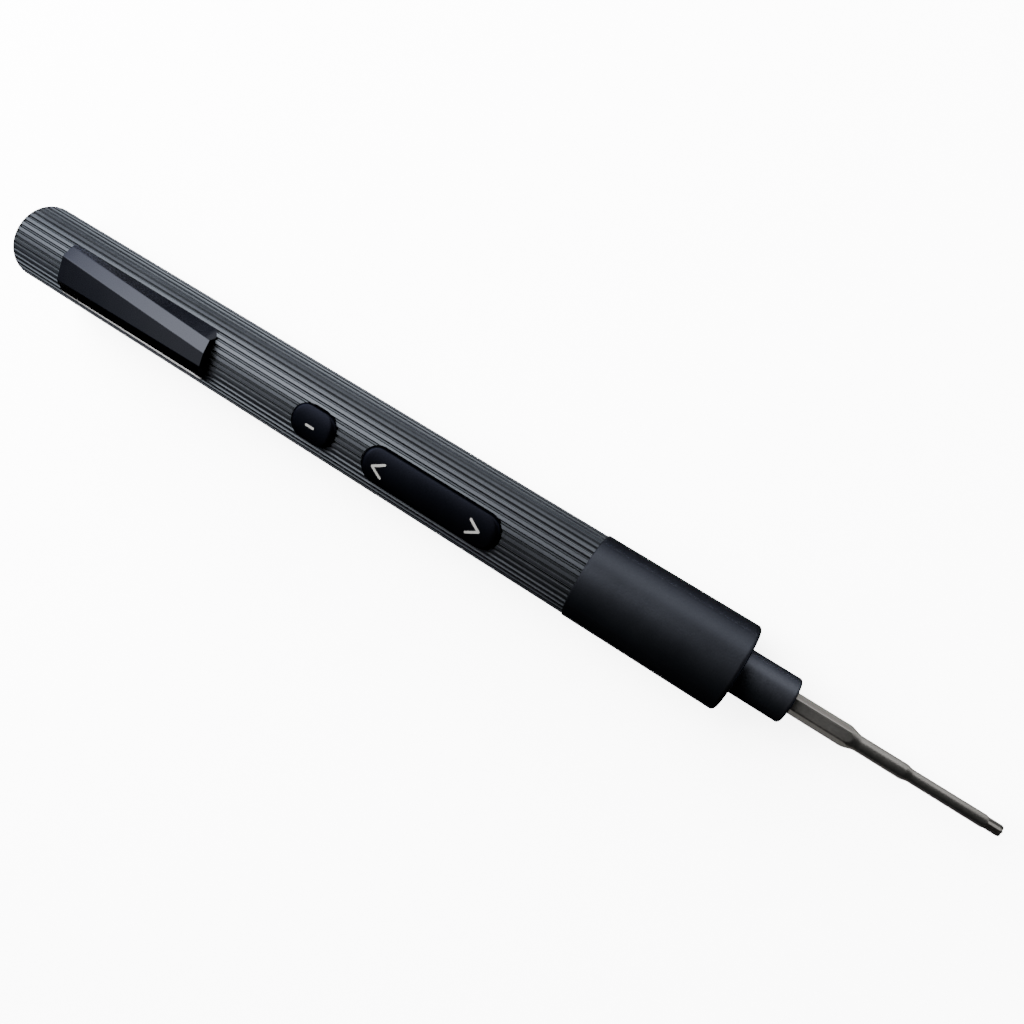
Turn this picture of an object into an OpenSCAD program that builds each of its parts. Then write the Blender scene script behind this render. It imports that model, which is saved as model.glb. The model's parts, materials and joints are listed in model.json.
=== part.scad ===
// Cordless precision screwdriver, pen style, with a two-stage planetary gearbox.
// X runs along the spindle from the rear face to the bit's tip, +Z is the side of the keys,
// and the origin is the centre of the rear face. Millimetres.

/* [Body tube] */
// Diameter of the tube over its ribs
body_d = 18; // [17.8:0.1:22]
// Wall of the tube under the rib crests
body_wall = 1.2; // [1:0.1:1.6]
// Where the tube ends and the front sleeve begins
tube_end = 153; // [152:1:184]
// Number of ribs round the tube
rib_count = 40; // [24:1:48]
// Width of a groove between two ribs, at the crest
groove_w = 0.78; // [0.4:0.02:0.9]
// Depth of a groove
groove_depth = 0.34; // [0.15:0.01:0.45]

/* [Rear cap and charging socket] */
// Thickness of the cap's edge behind the tube
cap_edge = 0.5; // [0.3:0.1:1.5]
// Thickness of the cap's end plate
cap_plate = 2; // [1.2:0.1:3]
// How far the cap's skirt reaches into the tube
cap_depth = 8.2; // [7.5:0.1:10]
// Width of the charging socket's steel shell
usb_w = 8.94; // [8.94:0.01:9]
// Height of the charging socket's steel shell
usb_h = 3.26; // [3.2:0.01:3.3]
// Thickness of the charging board
charge_board_t = 1; // [0.6:0.1:1.6]

/* [Front sleeve] */
// How far the smooth front sleeve stands above the rib crests
sleeve_step = 0.25; // [0:0.05:0.5]
// Length of the front sleeve
sleeve_len = 34; // [34:0.5:42]
// Wall of the front sleeve
sleeve_wall = 1.1; // [0.8:0.1:1.4]
// Rounding of the sleeve's front corner
sleeve_round = 0.9; // [0.3:0.1:1.2]
// Thickness of the sleeve's front wall
sleeve_front = 2.4; // [1.5:0.1:2.6]

/* [Bit holder] */
// Diameter of the bit holder
chuck_d = 9.5; // [8.5:0.1:10.5]
// Length of the bit holder in front of the sleeve
chuck_len = 11; // [9:0.5:14]
// Rounding of the bit holder's front corner
chuck_round = 0.6; // [0.2:0.1:0.9]
// Depth of the hex socket
socket_depth = 9; // [7:0.5:9.5]
// Clearance of the bit in the socket, across the flats
socket_slack = 0.08; // [0.05:0.01:0.15]

/* [Bit] */
// Width of the bit's hex shank across its flats
bit_hex = 4; // [3.9:0.1:4.1]
// Length of the hex shank in front of the bit holder
bit_hex_out = 11.5; // [8:0.5:16]
// Length of the rounded shoulder after the hex
bit_shoulder = 1.6; // [1:0.1:3]
// Diameter of the bit's first shaft
bit_shaft_d = 2.95; // [2.6:0.05:3.4]
// Length of the first shaft
bit_shaft_len = 8.9; // [4:0.1:14]
// Length of the taper between the two shafts
bit_taper = 1.7; // [0.8:0.1:3]
// Diameter of the bit's second shaft
bit_tip_d = 2.4; // [2:0.05:2.6]
// Length of the second shaft with the six-lobe tip
bit_tip_len = 17.2; // [10:0.1:24]
// Length of the six-lobe part
lobe_len = 3.2; // [2:0.1:4]
// Angle by which the hex is turned about the spindle
bit_turn = -21.5; // [-30:0.5:30]

/* [Keys] */
// Place of the mode key's centre along the tube
mode_x = 89.7; // [88:0.1:92]
// Length of the mode key
mode_len = 9.8; // [8.5:0.1:11]
// Place of the rocker's centre along the tube
rocker_x = 119.3; // [118.5:0.1:120]
// Length of the rocker
rocker_len = 33.5; // [29:0.5:34]
// Width of both keys
key_w = 7.6; // [6.3:0.1:7.8]
// How far the keys stand above the rib crests
key_proud = 1; // [0.6:0.1:1.5]
// Gap between a key and its opening
key_gap = 0.2; // [0.15:0.05:0.35]
// Travel of the mode key
mode_travel = 0.3; // [0.2:0.05:0.4]

/* [Pocket clip] */
// Place of the clip's rear end along the tube
clip_x = 15.9; // [14:0.1:18]
// Length of the clip
clip_len = 43.3; // [34:0.1:52]
// Width of the clip at its rear end
clip_rear_w = 10.8; // [8:0.1:13]
// Width of the clip at its front end
clip_front_w = 11.6; // [9:0.1:14]
// Rounding of the clip's front corners
clip_round = 1.2; // [0.4:0.1:2]
// Height of the clip's top above the rib crests, at the rear
clip_rear_h = 0.45; // [0.4:0.05:0.8]
// Height of the clip's top above the rib crests, at the front
clip_front_h = 2; // [1.4:0.1:2.8]
// Gap between the clip and the rib crests
clip_gap = 0.2; // [0.15:0.05:0.3]

/* [Cell and board] */
// Diameter of the lithium cell
cell_d = 14; // [13:0.1:14.2]
// Length of the lithium cell with its contact
cell_len = 50; // [41:0.5:50]
// Thickness of the main board
board_t = 1; // [0.8:0.1:1.2]

/* [Motor and gearbox] */
// Diameter of the motor and of the gearbox
motor_d = 12; // [10:0.1:12.4]
// Length of the motor's can
motor_len = 18; // [16:0.5:18]
// Diameter of the motor's shaft
motor_shaft_d = 1; // [0.8:0.1:1.1]
// Teeth of each sun gear
sun_teeth = 9; // [9:3:12]
// Teeth of each planet gear
planet_teeth = 15; // [12:3:15]
// Wall of the ring gear behind its teeth
ring_wall = 0.65; // [0.5:0.05:0.8]
// Thickness of the planet gears
planet_t = 4; // [3.2:0.1:4.2]
// Diameter of the planet pins
planet_pin_d = 1; // [0.8:0.1:1.2]
// Diameter of the spindle in its bearings
spindle_d = 5; // [4.6:0.1:5.2]

/* [Hidden] */
$fn = 64;

// Clearances
eps = 0.1;               // overlap of a cut with what it cuts
seat_gap = 0.05;         // between pieces that seat in one another
run_gap = 0.04;          // radial, between a shaft and its bearing

// Radii of the tube and sleeve
body_r = body_d / 2;
bore_r = body_r - body_wall;
inner_r = bore_r - seat_gap;         // pieces that slide into the tube
sleeve_r = body_r + sleeve_step;
sleeve_bore_r = sleeve_r - sleeve_wall;
sleeve_end = tube_end + sleeve_len;

// Keys and what lies under them, as heights above the spindle axis
key_top = body_r + key_proud;
key_r = key_w / 2;
key_end_round = 1.4;
key_wall = 1;
key_foot = sqrt(bore_r * bore_r - key_r * key_r) - 0.2;   // lower edge of a key's skirt
key_roof = key_top - 1.5;
board_top = bore_r - 5.2;
board_bottom = board_top - board_t;
plunger_top = board_top + 3;
plunger_r = 0.85;
plunger_len = 1.7;
plunger_play = 0.2;
switch_size = [4.2, 3.4, 1.9];
boss_r = 1.3;
switch_reach = 12;                    // from the rocker's pin to each of its switches
pin_z = board_top + 2.9;
pin_r = 0.6;
jaw_r = 1.3;
jaw_w = 5;
cheek_y = [2.9, 4.2];
cheek_top = min(key_foot - 0.35, sqrt(inner_r * inner_r - cheek_y[1] * cheek_y[1]) - 0.15);

// Clip mechanism
foot_x = [13, 26];
clip_pin_x = clip_x + 2.5;
clip_pin_z = bore_r - 1.7;
tongue_w = 4.2;
tongue_slack = 0.2;
window_x = [clip_pin_x - 1.8, clip_pin_x + 3];
foot_screw_x = foot_x[1] - 2.2;
foot_bottom = bore_r - 5.4;
leaf_t = 0.25;
leaf_z = clip_pin_z + 0.56;

// Cell, pads and board along the axis
pad_t = 1;
strip_t = 0.2;
strip_w = 3;
cell_x = foot_x[1] + pad_t + strip_t;
cell_end = cell_x + cell_len;
tray_x = cell_end + pad_t + 2 * strip_t;
tray_wall = 0.8;

// Motor, gearbox, bearing and bit holder along the axis
motor_r = motor_d / 2;
plate_t = 1.4;
gear_gap = 0.4;                       // between gears and the plates beside them
gear_x = tube_end + 6.4;              // rear face of the ring gear
motor_end = gear_x - plate_t;         // front face of the motor
motor_x = motor_end - motor_len;
bell_x = motor_x - 1;
tray_end = bell_x;
board_x = [tray_x + 1.4, tray_end - 1];
board_w = 2 * sqrt(inner_r * inner_r - board_top * board_top) - 0.2;
screw_places = [mode_x - 6.3, (mode_x + rocker_x) / 2 - 5.2, board_x[1] - 1.7];
stage_a = gear_x + 2 * gear_gap;      // rear face of the first planets
carrier_t = 1.2;
carrier_x = stage_a + planet_t + gear_gap;
stage_b = carrier_x + carrier_t + gear_gap;
spindle_x = stage_b + planet_t + gear_gap;
spindle_plate_t = 1.4;
ring_end = spindle_x + spindle_plate_t + 2.2;
cover_t = 3;
cover_end = ring_end + cover_t;
bearing_w = 3;
bearing_x = sleeve_end - sleeve_front - 1.2 - bearing_w;
frame_x = tube_end - 10;
frame_end = bearing_x + bearing_w + 0.8;
chuck_end = sleeve_end + chuck_len;
chuck_r = chuck_d / 2;
chuck_x = sleeve_end - sleeve_front + 0.2;
socket_x = chuck_end - socket_depth;
magnet_t = 1.5;
spindle_r = spindle_d / 2;
bush_r = spindle_r + 0.89;
spindle_nose_r = 2;
spindle_end = socket_x - magnet_t - 0.1;
chuck_pin_x = (chuck_x + spindle_end) / 2;
chuck_pin_r = 0.75;

// Bearing: races, balls and the ring of ball centres
ball_r = 0.5;
ball_count = 11;
race_in_r = spindle_r + 0.6;
race_out_r = race_in_r + 0.8;
race_r = race_out_r + 0.6;
ball_ring_r = (race_in_r + race_out_r) / 2;

// Gears: stub teeth with a 25 degree pressure angle
pressure = 25;
addendum = 0.8;
dedendum = 1.05;
backlash = 0.09;
ring_teeth = sun_teeth + 2 * planet_teeth;
gear_module = (motor_r - ring_wall) / (ring_teeth / 2 + dedendum);
planet_orbit = gear_module * (sun_teeth + planet_teeth) / 2;
carrier_r = gear_module * (ring_teeth / 2 - addendum) - 0.3;

// Involute function of an angle, in degrees
function inv(a) = tan(a) * 180 / PI - a;
// Half the angle of a tooth at radius r, for z teeth that are thinned by thin at the pitch circle
function half_tooth(z, r, thin) =
    let (pitch_r = gear_module * z / 2, base_r = pitch_r * cos(pressure))
    90 / z - thin / 2 / pitch_r * 180 / PI + inv(pressure)
    - inv(r > base_r ? acos(base_r / r) : 0);
// One tooth's outline from root to root: flank, tip, flank
function tooth(z, low, high, thin) =
    let (radii = [low, (low + high) / 2, high])
    [for (r = radii) [r, -half_tooth(z, r, thin)],
        for (i = [2:-1:0]) [radii[i], half_tooth(z, radii[i], thin)]];
// A whole gear's outline
function gear_points(z, low, high, thin) =
    [for (i = [0:z - 1], p = tooth(z, low, high, thin))
        let (a = i * 360 / z + p[1]) [p[0] * cos(a), p[0] * sin(a)]];

module gear_outline(z)
    polygon(gear_points(z, gear_module * (z / 2 - dedendum), gear_module * (z / 2 + addendum), backlash));

// The space inside a ring gear, with a tooth space at angle 0
module ring_outline(z)
    polygon(gear_points(z, gear_module * (z / 2 - addendum), gear_module * (z / 2 + dedendum), -backlash));

// Draws in the Y-Z plane and extrudes or revolves along +X from x0
module on_axis(x0) translate([x0, 0, 0]) rotate([90, 0, 90]) children();
module section(x0, len) on_axis(x0) linear_extrude(len) children();
module rod(x0, len, r) on_axis(x0) cylinder(r = r, h = len);
module ring(x0, len, r_out, r_in) section(x0, len) difference() {
    circle(r_out);
    circle(r_in);
}
// A box from its low corner to its high corner
module block(low, high) translate(low) cube(high - low);
module block2(low, high) translate(low) square(high - low);
// A pin along Y through a point of the X-Z plane
module cross_pin(x, z, r, len) translate([x, len / 2, z]) rotate([90, 0, 0]) cylinder(r = r, h = len);
// A rectangle with round ends, centred
module stadium(len, w) {
    square([len - w, w], center = true);
    for (side = [-1, 1]) translate([side * (len - w) / 2, 0]) circle(w / 2);
}
// A socket-like outline, wide along Y
module slot_section(x0, len, w, h) section(x0, len) stadium(w, h);
// A disc turned about the axis whose rear or front corner is chamfered
module chamfered_disc(x0, len, r, rear, front) on_axis(x0) rotate_extrude()
    polygon([[0, 0], [r - rear, 0], [r, rear], [r, len - front], [r - front, len], [0, len]]);

// ---- Body tube ----

module ribbed_outline() difference() {
    circle(body_r, $fn = 120);
    for (i = [0:rib_count - 1]) rotate(90 + (i + 0.5) * 360 / rib_count) translate([body_r, 0])
        polygon([[eps, -groove_w / 2 - eps / 2], [eps, groove_w / 2 + eps / 2],
            [-groove_depth, groove_w * 0.18], [-groove_depth, -groove_w * 0.18]]);
}

module key_opening(x, len) translate([x, 0, 0])
    linear_extrude(body_r + eps) stadium(len + 2 * key_gap, key_w + 2 * key_gap);

module body_tube() color("dimgray") difference() {
    section(cap_edge, tube_end - cap_edge) ribbed_outline();
    rod(-eps, tube_end + 2 * eps, bore_r);
    key_opening(mode_x, mode_len);
    key_opening(rocker_x, rocker_len);
    block([window_x[0], -tongue_w / 2 - tongue_slack, 0],
        [window_x[1], tongue_w / 2 + tongue_slack, body_r + eps]);
    translate([foot_screw_x, 0, 0]) foot_screw_hole();
}

// ---- Rear cap and charging socket ----

module rear_cap() color("black") difference() {
    union() {
        chamfered_disc(0, cap_edge, body_r - 0.12, 0.25, 0);
        rod(cap_edge, cap_depth - cap_edge, inner_r);
    }
    difference() {
        rod(cap_plate, cap_depth, inner_r - 1.1);
        slot_section(cap_plate, 3, usb_w + 2.2, usb_h + 2.2);
    }
    slot_section(-eps, cap_depth, usb_w + 2 * seat_gap, usb_h + 2 * seat_gap);
}

module usb_shell() color("silver") difference() {
    slot_section(cap_edge, cap_depth - cap_edge, usb_w, usb_h);
    slot_section(cap_edge - eps, cap_depth, usb_w - 0.5, usb_h - 0.5);
}

module usb_tongue() color("black") {
    block([cap_edge + 0.9, -3.35, -0.35], [cap_depth - 1.6, 3.35, 0.35]);
    slot_section(cap_depth - 1.6, 1.6, usb_w - 0.6, usb_h - 0.6);
}

module charge_board() color("darkgreen") difference() {
    rod(cap_depth, charge_board_t, inner_r - 0.1);
    for (side = [-1, 1]) block([cap_depth - eps, -1.5, side * inner_r - 1],
        [cap_depth + charge_board_t + eps, 1.5, side * inner_r + 1]);
}

// ---- Cell ----

module battery_cell() color("steelblue") on_axis(cell_x) rotate_extrude() {
    polygon([[0, 0], [cell_d / 2 - 0.4, 0], [cell_d / 2, 0.4], [cell_d / 2, cell_len - 1.8],
        [cell_d / 2 - 0.8, cell_len - 1], [2.7, cell_len - 1], [2.7, cell_len], [0, cell_len]]);
}

// A bent strip that follows points of the X-Z plane; each stretch runs along X or Z
module bent_strip(points) for (i = [1:len(points) - 1]) {
    a = points[i - 1];
    b = points[i];
    block([min(a[0], b[0]), -strip_w / 2, min(a[1], b[1])],
        [max(a[0], b[0]) + strip_t, strip_w / 2, max(a[1], b[1]) + strip_t]);
}
module battery_strips() color("lightgray") {
    low = -cell_d / 2 - strip_t;
    rise = low + 2;
    bend_x = cell_end + strip_t;
    board_z = board_bottom - strip_t;
    // From the cell's rear end, along under it, to the main board
    bent_strip([[cell_x - strip_t, 2], [cell_x - strip_t, low], [bend_x, low], [bend_x, rise],
        [board_x[0] + 0.8, rise], [board_x[0] + 0.8, board_z]]);
    // From the cell's front contact to the main board
    bent_strip([[cell_end, -1.5], [cell_end, board_z], [board_x[0] + 0.3, board_z]]);
}

module battery_pads() color("gray") {
    difference() {
        ring(foot_x[1], pad_t, inner_r - 0.3, 4);
        block([foot_x[1] - eps, -strip_w, -inner_r], [foot_x[1] + pad_t + eps, strip_w, 0]);
    }
    difference() {
        ring(cell_end - 1 + seat_gap, tray_x - cell_end + 1 - seat_gap, inner_r - 0.5, 3.4);
        block([cell_end - 2, -strip_w, -inner_r], [tray_x + eps, strip_w, 0]);
        // Way up for the front strip
        block([cell_end - 2, -strip_w / 2 - 0.3, -eps], [tray_x + eps, strip_w / 2 + 0.3, board_bottom + 0.2]);
    }
}

// ---- Pocket clip ----

// Height of the tube's rib crests at a distance y from the plane of the keys
function crest(y) = sqrt(body_r * body_r - y * y);
// The clip's section as [half width, height] from its foot to its top. The rear has no side wall.
clip_rear = [[clip_rear_w / 2, crest(clip_rear_w / 2)], [clip_rear_w / 2 - 2.47, body_r + clip_rear_h]];
clip_front = [[clip_front_w / 2, crest(clip_front_w / 2)],
    [clip_front_w / 2 - 2.05, body_r + clip_front_h - 1.15],
    [clip_front_w / 2 - 3.88, body_r + clip_front_h]];
module clip_end(x, points) section(x, 0.01) polygon(concat(points,
    [for (i = [len(points) - 1:-1:0]) [-points[i][0], points[i][1]]]));
// The clip's outline seen from above, with rounded front corners
module clip_plan() {
    half = clip_front_w / 2 - clip_round;
    front = clip_x + clip_len;
    block2([clip_x, -body_r], [front - clip_round, body_r]);
    block2([clip_x, -half], [front, half]);
    for (side = [-1, 1]) translate([front - clip_round, side * half]) circle(clip_round);
}

module pocket_clip() color("midnightblue") difference() {
    union() {
        difference() {
            intersection() {
                hull() {
                    clip_end(clip_x, clip_rear);
                    clip_end(clip_x + clip_len - 0.01, clip_front);
                }
                linear_extrude(2 * body_r) clip_plan();
            }
            rod(clip_x - eps, clip_len + 2 * eps, body_r + clip_gap);
        }
        // Tongue that reaches through the tube to the pivot pin
        block([clip_pin_x - 1.1, -tongue_w / 2, clip_pin_z],
            [clip_pin_x + 1.1, tongue_w / 2, body_r + clip_rear_h - 0.15]);
        cross_pin(clip_pin_x, clip_pin_z, jaw_r, tongue_w);
        block([clip_pin_x, -tongue_w / 2, clip_pin_z - 0.2],
            [clip_pin_x + 2.2, tongue_w / 2, clip_pin_z + 0.4]);
    }
    cross_pin(clip_pin_x, clip_pin_z, pin_r + run_gap, tongue_w + 1);
    jaw_mouth(clip_pin_x, clip_pin_z);
}

// Mouth of a jaw that snaps over its pin, narrower than the pin
module jaw_mouth(x, z) block([x - 0.75 * pin_r, -jaw_w, z - 2], [x + 0.75 * pin_r, jaw_w, z]);

module clip_foot() color("dimgray") difference() {
    intersection() {
        rod(foot_x[0], foot_x[1] - foot_x[0], inner_r);
        block([foot_x[0], -inner_r, foot_bottom], [foot_x[1], inner_r, inner_r]);
    }
    block([window_x[0], -tongue_w / 2 - tongue_slack, clip_pin_z - 2],
        [window_x[1], tongue_w / 2 + tongue_slack, body_r]);
    cross_pin(clip_pin_x, clip_pin_z, pin_r + 0.02, 2 * inner_r);
    // Slit that holds the leaf spring
    block([window_x[1] - eps, -1.6, leaf_z - 0.01], [window_x[1] + 1.5, 1.6, leaf_z + leaf_t + 0.01]);
    translate([foot_screw_x, 0, 0]) foot_screw_shank(0.82);
}

module clip_pin() color("silver") cross_pin(clip_pin_x, clip_pin_z, pin_r, 7.2);

module clip_spring() color("silver")
    block([clip_pin_x + jaw_r, -1.5, leaf_z], [window_x[1] + 1.4, 1.5, leaf_z + leaf_t]);

module foot_screw_shank(r) translate([0, 0, bore_r - 4.2]) cylinder(r = r, h = 4.3);
module foot_screw_hole() {
    foot_screw_shank(0.9);
    translate([0, 0, bore_r - eps]) cylinder(r = 1.5, h = body_wall + 2 * eps);
}
module clip_foot_screw() color("gray") translate([foot_screw_x, 0, 0]) difference() {
    union() {
        foot_screw_shank(0.8);
        translate([0, 0, bore_r]) cylinder(r = 1.4, h = 0.7);
    }
    translate([0, 0, bore_r + 0.25]) cylinder(r = 0.6, h = 1, $fn = 6);
}

// ---- Chassis and boards ----

module chassis_tray() color("darkslategray") {
    difference() {
        union() {
            // Trough, with bulkheads at its ends and low ribs between
            ring(tray_x, tray_end - tray_x, inner_r, inner_r - tray_wall);
            rod(tray_x, 1.2, inner_r - tray_wall / 2);
            ring(tray_end - 1.4, 1.4, inner_r - tray_wall / 2, 4.6);
            for (x = [mode_x + 3, rocker_x - 8, rocker_x + 8])
                intersection() {
                    rod(x, 1, inner_r - tray_wall / 2);
                    block([x, -inner_r, -inner_r], [x + 1, inner_r, -3.5]);
                }
            for (x = screw_places) translate([x, 0, -inner_r + tray_wall / 2])
                cylinder(r = 1.5, h = inner_r + board_bottom - tray_wall / 2);
        }
        block([tray_x - 1, -body_r, board_bottom], [tray_end + 1, body_r, body_r]);
        for (x = screw_places) board_screw_shank(x, 0.62);
        // Way through for the cell's strip
        block([tray_x - eps, -strip_w / 2 - 0.3, -cell_d / 2 + 1.2],
            [tray_x + 1.3, strip_w / 2 + 0.3, board_bottom + 1]);
    }
}

module board_screw_shank(x, r) translate([x, 0, board_bottom - 3]) cylinder(r = r, h = board_t + 3.01);

module main_board() color("darkgreen") difference() {
    block([board_x[0], -board_w / 2, board_bottom], [board_x[1], board_w / 2, board_top]);
    for (x = screw_places) board_screw_shank(x, 0.75);
}

module board_chips() color("black") {
    // Controller, charger and motor drivers under the board, and parts beside the switches
    for (x = [mode_x - 1, mode_x + 12, rocker_x - 12])
        block([x, -2.4, board_bottom - 0.9], [x + 4.8, 2.4, board_bottom]);
    for (x = [rocker_x - 4.5, rocker_x + 2.5], side = [-1, 1])
        block([x, side * 4 - 1, board_bottom - 1.2], [x + 2, side * 4 + 1, board_bottom]);
    for (x = [mode_x + 6, rocker_x - 8.5, rocker_x + 7], side = [-1, 1])
        block([x, side * 5 - 0.6, board_top], [x + 1.6, side * 5 + 0.6, board_top + 0.6]);
}

module board_screws() color("silver") for (x = screw_places) difference() {
    union() {
        board_screw_shank(x, 0.6);
        translate([x, 0, board_top]) cylinder(r = 1.25, h = 0.7);
    }
    translate([x, 0, board_top + 0.3]) cylinder(r = 0.55, h = 1, $fn = 6);
}

// ---- Keys and switches ----

module switch_body(x) difference() {
    block([x - switch_size[0] / 2, -switch_size[1] / 2, board_top],
        [x + switch_size[0] / 2, switch_size[1] / 2, board_top + switch_size[2]]);
    translate([x, 0, board_top + 0.6]) cylinder(r = plunger_r + plunger_play, h = 3);
}
module plunger(x) translate([x, 0, plunger_top - plunger_len]) cylinder(r = plunger_r, h = plunger_len);

module mode_switch() color("silver") switch_body(mode_x);
module mode_plunger() color("ivory") plunger(mode_x);
module rocker_switches() color("silver")
    for (side = [-1, 1]) switch_body(rocker_x + side * switch_reach);
module rocker_plungers() color("ivory")
    for (side = [-1, 1]) plunger(rocker_x + side * switch_reach);

// Top of a key: concentric with the tube, with ends that round down to it
module key_crown(x, len) on_axis(x) rotate_extrude() {
    half = len / 2;
    translate([0, -half]) square([key_top - key_end_round, len]);
    translate([0, -half + key_end_round]) square([key_top, len - 2 * key_end_round]);
    for (side = [-1, 1]) translate([key_top - key_end_round, side * (half - key_end_round)]) circle(key_end_round);
}
module key_cap(x, len) difference() {
    intersection() {
        translate([x, 0, key_foot]) linear_extrude(key_top) stadium(len, key_w);
        key_crown(x, len);
    }
    translate([x, 0, key_foot - eps]) linear_extrude(key_roof - key_foot + eps)
        stadium(len - 2 * key_wall, key_w - 2 * key_wall);
}
module key_boss(x) translate([x, 0, plunger_top]) cylinder(r = boss_r, h = key_roof - plunger_top + eps);

module mode_button() color("midnightblue") {
    key_cap(mode_x, mode_len);
    key_boss(mode_x);
    // Lips that catch under the tube's wall
    for (side = [-1, 1]) translate([mode_x + side * (mode_len / 2 - 0.1), 0, key_foot])
        translate([-0.9, -1.3, 0]) cube([1.8, 2.6, 0.7]);
}

module direction_rocker() color("midnightblue") difference() {
    union() {
        key_cap(rocker_x, rocker_len);
        for (side = [-1, 1]) key_boss(rocker_x + side * switch_reach);
        block([rocker_x - 2, -jaw_w / 2, pin_z], [rocker_x + 2, jaw_w / 2, key_roof + eps]);
        cross_pin(rocker_x, pin_z, jaw_r, jaw_w);
    }
    cross_pin(rocker_x, pin_z, pin_r + run_gap, jaw_w + 1);
    jaw_mouth(rocker_x, pin_z);
}

module rocker_bracket() color("darkslategray") difference() {
    union() {
        block([rocker_x - 3.3, -cheek_y[1], board_top], [rocker_x + 3.3, cheek_y[1], board_top + 0.8]);
        for (side = [0, 1]) mirror([0, side, 0])
            block([rocker_x - 2, cheek_y[0], board_top], [rocker_x + 2, cheek_y[1], cheek_top]);
    }
    cross_pin(rocker_x, pin_z, pin_r + 0.02, 10);
}
module rocker_pin() color("silver") cross_pin(rocker_x, pin_z, pin_r, 2 * cheek_y[1] - 0.2);

// ---- Motor ----

module motor_can() color("silver") difference() {
    union() {
        rod(motor_x, motor_len, motor_r);
        rod(motor_end - eps, 1 + eps, 2.6);
    }
    rod(motor_x - eps, motor_len - 1 + eps, motor_r - 0.5);
    rod(motor_end - 2, 4, 1.4);
}
module motor_bush() color("darkgoldenrod") ring(motor_end - 1, 2, 1.4 - 0.01, motor_shaft_d / 2 + run_gap);
module motor_end_bell() color("black") difference() {
    union() {
        rod(bell_x, 1, motor_r - 0.1);
        rod(motor_x, 1.4, motor_r - 0.5 - seat_gap);
    }
    rod(bell_x - eps, 4, motor_shaft_d / 2 + run_gap);
    for (side = [-1, 1]) block([bell_x - eps, side * 3.4 - 1.02, -0.27], [motor_x + 2, side * 3.4 + 1.02, 0.27]);
}
module motor_terminals() color("gold")
    for (side = [-1, 1]) block([bell_x - 1.8, side * 3.4 - 1, -0.25], [motor_x + 1, side * 3.4 + 1, 0.25]);
module motor_magnets() color("dimgray") for (turn = [0, 180])
    on_axis(motor_x + 3.5) rotate([0, 0, turn - 65]) rotate_extrude(angle = 130)
        translate([motor_r - 1.5, 0]) square([0.97, 12]);

module rotor_shaft() color("silver")
    rod(bell_x + 0.2, carrier_x - gear_gap - bell_x - 0.2, motor_shaft_d / 2);
module rotor_core() color("peru") section(motor_x + 4.5, 10) difference() {
    circle(motor_r - 1.8);
    circle(motor_shaft_d / 2);
    for (i = [0:4]) rotate(i * 72) {
        translate([motor_r - 2.4, -0.3]) square([1.2, 0.6]);
        translate([motor_r - 3, 0]) circle(0.85);
    }
}
module commutator() color("peru") section(motor_x + 1.8, 2) difference() {
    circle(1.7);
    circle(motor_shaft_d / 2);
    for (i = [0:4]) rotate(i * 72 + 36) translate([1.5, -0.1]) square([0.4, 0.2]);
}

// ---- Gearbox ----

module pinion() color("gold") section(stage_a - gear_gap / 2, planet_t + gear_gap / 2) difference() {
    gear_outline(sun_teeth);
    circle(motor_shaft_d / 2);
}
module gearbox_plate() color("silver") ring(motor_end, plate_t, motor_r, 2.65);
// A planet with an odd number of teeth has a tooth outwards where it has a space inwards,
// so the ring has a space there, and with an even number it has a tooth
module ring_gear() color("dimgray") section(gear_x, ring_end - gear_x) difference() {
    circle(motor_r);
    rotate(planet_teeth % 2 == 1 ? 0 : 180 / ring_teeth) ring_outline(ring_teeth);
}
module gearbox_cover() color("silver") ring(ring_end, cover_t, motor_r, bush_r + 0.01);
module spindle_bush() color("darkgoldenrod") {
    ring(ring_end, cover_t, bush_r, spindle_r + run_gap);
    ring(ring_end - 0.8, 0.8, min(bush_r + 0.8, carrier_r), spindle_r + run_gap);
}

// A planet at angle 120 n, with a tooth space towards the sun
module planet(x, n) rotate([n * 120, 0, 0]) translate([0, planet_orbit, 0]) section(x, planet_t) difference() {
    rotate(180 + 180 / planet_teeth) gear_outline(planet_teeth);
    circle(planet_pin_d / 2 + run_gap);
}
module planet_pins(x, len) for (n = [0:2])
    rotate([n * 120, 0, 0]) translate([0, planet_orbit, 0]) rod(x, len, planet_pin_d / 2);
module pin_holes(x, len) for (n = [0:2])
    rotate([n * 120, 0, 0]) translate([0, planet_orbit, 0]) rod(x, len, planet_pin_d / 2 + 0.01);

module carrier_pins() color("silver") planet_pins(stage_a - gear_gap / 2, planet_t + 1.5 * gear_gap + carrier_t);
module sun_carrier() color("silver") {
    difference() {
        rod(carrier_x, carrier_t, carrier_r);
        pin_holes(carrier_x - eps, carrier_t + 2 * eps);
    }
    section(carrier_x + carrier_t / 2, carrier_t / 2 + gear_gap + planet_t) gear_outline(sun_teeth);
}

module spindle_pins() color("silver") planet_pins(stage_b - gear_gap / 2, planet_t + 1.5 * gear_gap + spindle_plate_t);
module spindle() color("silver") difference() {
    union() {
        rod(spindle_x, spindle_plate_t, carrier_r);
        rod(spindle_x + 0.5, bearing_x + bearing_w - spindle_x - 0.5, spindle_r);
        rod(bearing_x, spindle_end - bearing_x, spindle_nose_r);
    }
    pin_holes(spindle_x - eps, spindle_plate_t + 2 * eps);
    translate([chuck_pin_x, 0, -chuck_r]) cylinder(r = chuck_pin_r + 0.01, h = chuck_d);
}

// ---- Nose: frame, bearing, sleeve and bit holder ----

module nose_frame() color("darkslategray") difference() {
    union() {
        rod(frame_x, tube_end - frame_x, inner_r);
        rod(tube_end, frame_end - tube_end, sleeve_bore_r - seat_gap);
    }
    rod(frame_x - eps, cover_end + 0.2 - frame_x, motor_r + seat_gap);
    rod(cover_end, frame_end, race_out_r);
    rod(bearing_x, frame_end, race_r + 0.02);
}

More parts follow.
